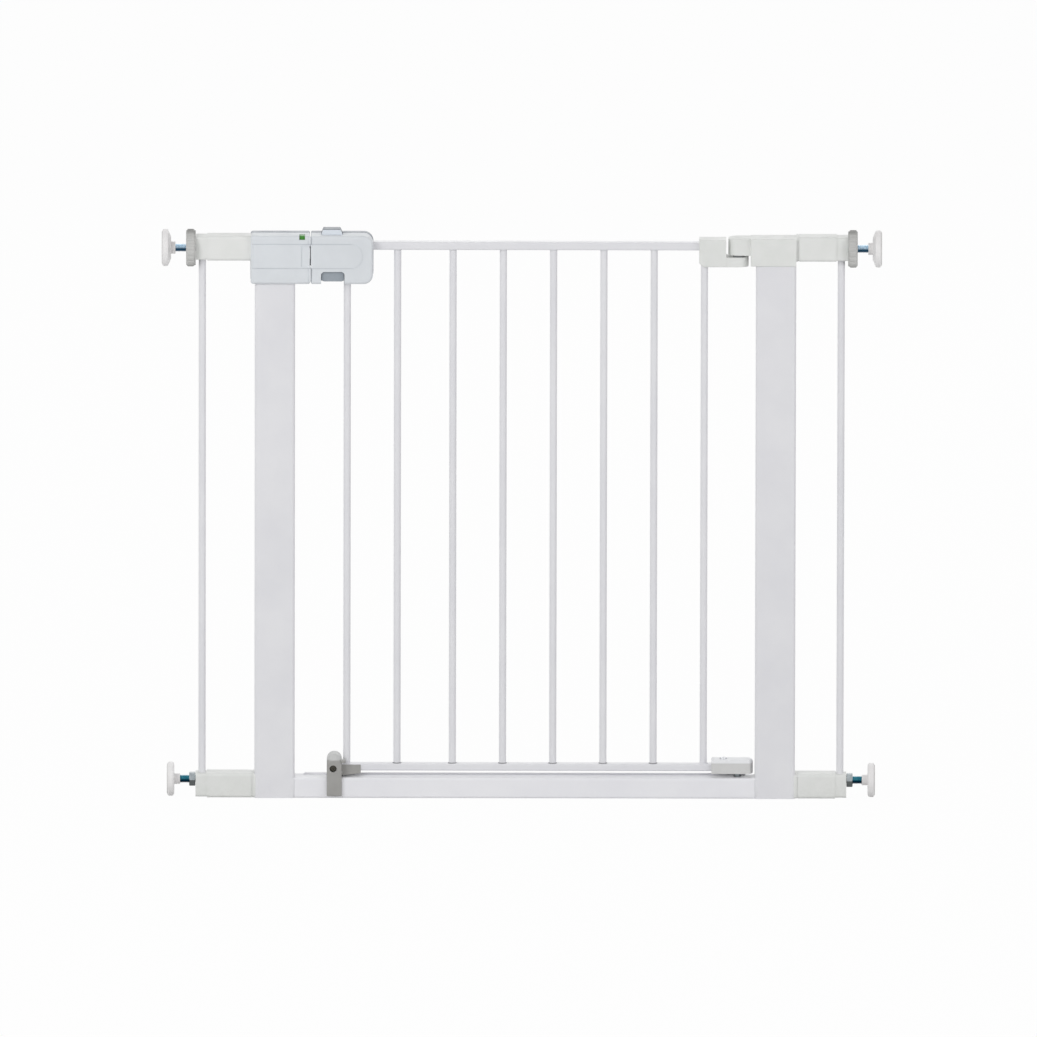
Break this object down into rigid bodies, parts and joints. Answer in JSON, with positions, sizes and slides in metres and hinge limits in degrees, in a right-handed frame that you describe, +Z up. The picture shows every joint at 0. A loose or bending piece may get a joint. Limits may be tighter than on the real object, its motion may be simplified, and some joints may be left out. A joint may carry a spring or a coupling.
{
  "type": "safety baby gate",
  "caption": "Pressure-fitted walk-through safety gate with a barred swing door, a squeeze latch, a steel frame and extension arms with threaded wall pads.",
  "frame": {"origin": "on the floor, midway between the posts, in the gate's middle plane", "axes": "+X to the right as seen from the front, +Y away from the viewer, +Z up"},
  "size_m": [0.8922, 0.0464, 0.7165],
  "materials": {
    "painted_steel": "smooth semi-gloss white powder coat",
    "arm_plastic": "fine satin off-white moulding",
    "housing_plastic": "fine satin cool white moulding",
    "rear_shell_plastic": "fine satin light slate-grey moulding",
    "button_plastic": "satin slate-grey moulding",
    "grey_plastic": "satin mid-grey moulding",
    "wheel_plastic": "satin light-grey moulding",
    "inner_plastic": "plain grey slide-grade moulding",
    "pad_plastic": "satin white moulding",
    "pad_rubber": "soft pale grey, lightly grained",
    "zinc_rod": "bright blue-passivated zinc",
    "zinc": "bright zinc",
    "spring_steel": "drawn spring wire",
    "flag_green": "satin green moulding",
    "backing_red": "satin red moulding"
  },
  "bodies": {
    "frame": {"left_post": "painted_steel", "right_post": "painted_steel", "threshold_bar": "painted_steel", "strike_front_shell": "housing_plastic", "strike_rear_shell": "rear_shell_plastic", "indicator_backing": "backing_red", "hinge_bracket": "arm_plastic", "upper_hinge_pin": "zinc", "lower_hinge_pin": "zinc", "lower_hinge_washer": "zinc", "bottom_catch": "grey_plastic", "frame_screws": "zinc", "extension_end_plugs": "arm_plastic", "left_extension_top_arm": "arm_plastic", "left_extension_bottom_arm": "arm_plastic", "left_extension_bar": "painted_steel", "right_extension_top_arm": "arm_plastic", "right_extension_bottom_arm": "arm_plastic", "right_extension_bar": "painted_steel"},
    "door": {"door_top_rail": "painted_steel", "door_bottom_rail": "painted_steel", "door_bar_1": "painted_steel", "door_bar_2": "painted_steel", "door_bar_3": "painted_steel", "door_bar_4": "painted_steel", "door_bar_5": "painted_steel", "door_bar_6": "painted_steel", "door_bar_7": "painted_steel", "door_bar_8": "painted_steel", "handle_front_shell": "housing_plastic", "handle_rear_shell": "rear_shell_plastic", "hinge_knuckle": "arm_plastic", "upper_hinge_bush": "inner_plastic", "lower_hinge_block": "arm_plastic", "lower_hinge_bush": "inner_plastic", "door_screws": "zinc", "rail_end_cap": "grey_plastic", "upper_return_spring": "spring_steel", "lower_return_spring": "spring_steel"},
    "upper_latch": {"upper_latch_slide": "inner_plastic", "upper_button": "button_plastic"},
    "lower_latch": {"lower_latch_slide": "inner_plastic", "lower_button": "button_plastic"},
    "indicator": {"indicator_flag": "flag_green"},
    "left_top_spindle": {"left_top_rod": "zinc_rod", "left_top_pad": "pad_plastic", "left_top_pad_face": "pad_rubber"},
    "left_bottom_spindle": {"left_bottom_rod": "zinc_rod", "left_bottom_pad": "pad_plastic", "left_bottom_pad_face": "pad_rubber"},
    "left_top_wheel": {"left_hand_wheel": "wheel_plastic"},
    "left_bottom_nut": {"left_lock_nut": "zinc"},
    "right_top_spindle": {"right_top_rod": "zinc_rod", "right_top_pad": "pad_plastic", "right_top_pad_face": "pad_rubber"},
    "right_bottom_spindle": {"right_bottom_rod": "zinc_rod", "right_bottom_pad": "pad_plastic", "right_bottom_pad_face": "pad_rubber"},
    "right_top_wheel": {"right_hand_wheel": "wheel_plastic"},
    "right_bottom_nut": {"right_lock_nut": "zinc"}
  },
  "joints": [
    {"name": "door_swing", "type": "hinge", "parent": "frame", "child": "door", "pos_m": [0.264, 0, 0.355], "axis": [0, 0, -1], "range_deg": [0, 90]},
    {"name": "upper_squeeze", "type": "slide", "parent": "door", "child": "upper_latch", "axis": [0, 0, -1], "range_m": [0, 0.006], "stiffness_N_per_m": 600, "springref_m": -0.006, "deforming": ["upper_return_spring"]},
    {"name": "lower_squeeze", "type": "slide", "parent": "door", "child": "lower_latch", "axis": [0, 0, 1], "range_m": [0, 0.006], "stiffness_N_per_m": 600, "springref_m": -0.006, "deforming": ["lower_return_spring"]},
    {"name": "indicator_drop", "type": "slide", "parent": "frame", "child": "indicator", "axis": [0, 0, -1], "range_m": [0, 0.006]},
    {"name": "left_top_turn", "type": "hinge", "parent": "frame", "child": "left_top_wheel", "pos_m": [-0.413, 0, 0.6914], "axis": [1, 0, 0], "range_deg": [-2880, 5760]},
    {"name": "left_top_extend", "type": "slide", "parent": "frame", "child": "left_top_spindle", "axis": [-1, 0, 0], "range_m": [-0.012, 0.024]},
    {"name": "left_bottom_turn", "type": "hinge", "parent": "frame", "child": "left_bottom_nut", "pos_m": [-0.413, 0, 0.0215], "axis": [1, 0, 0], "range_deg": [-2520, 5760]},
    {"name": "left_bottom_extend", "type": "slide", "parent": "frame", "child": "left_bottom_spindle", "axis": [-1, 0, 0], "range_m": [-0.0105, 0.024]},
    {"name": "right_top_turn", "type": "hinge", "parent": "frame", "child": "right_top_wheel", "pos_m": [0.4038, 0, 0.6914], "axis": [-1, 0, 0], "range_deg": [-2880, 5760]},
    {"name": "right_top_extend", "type": "slide", "parent": "frame", "child": "right_top_spindle", "axis": [1, 0, 0], "range_m": [-0.012, 0.024]},
    {"name": "right_bottom_turn", "type": "hinge", "parent": "frame", "child": "right_bottom_nut", "pos_m": [0.4038, 0, 0.0215], "axis": [-1, 0, 0], "range_deg": [-2520, 5760]},
    {"name": "right_bottom_extend", "type": "slide", "parent": "frame", "child": "right_bottom_spindle", "axis": [1, 0, 0], "range_m": [-0.0105, 0.024]}
  ],
  "couplings": [
    {"joint": "indicator_drop", "follows": "upper_squeeze", "ratio": 1},
    {"joint": "left_top_extend", "follows": "left_top_turn", "m_per_rad": 0.00023873},
    {"joint": "left_bottom_extend", "follows": "left_bottom_turn", "m_per_rad": 0.00023873},
    {"joint": "right_top_extend", "follows": "right_top_turn", "m_per_rad": 0.00023873},
    {"joint": "right_bottom_extend", "follows": "right_bottom_turn", "m_per_rad": 0.00023873}
  ]
}
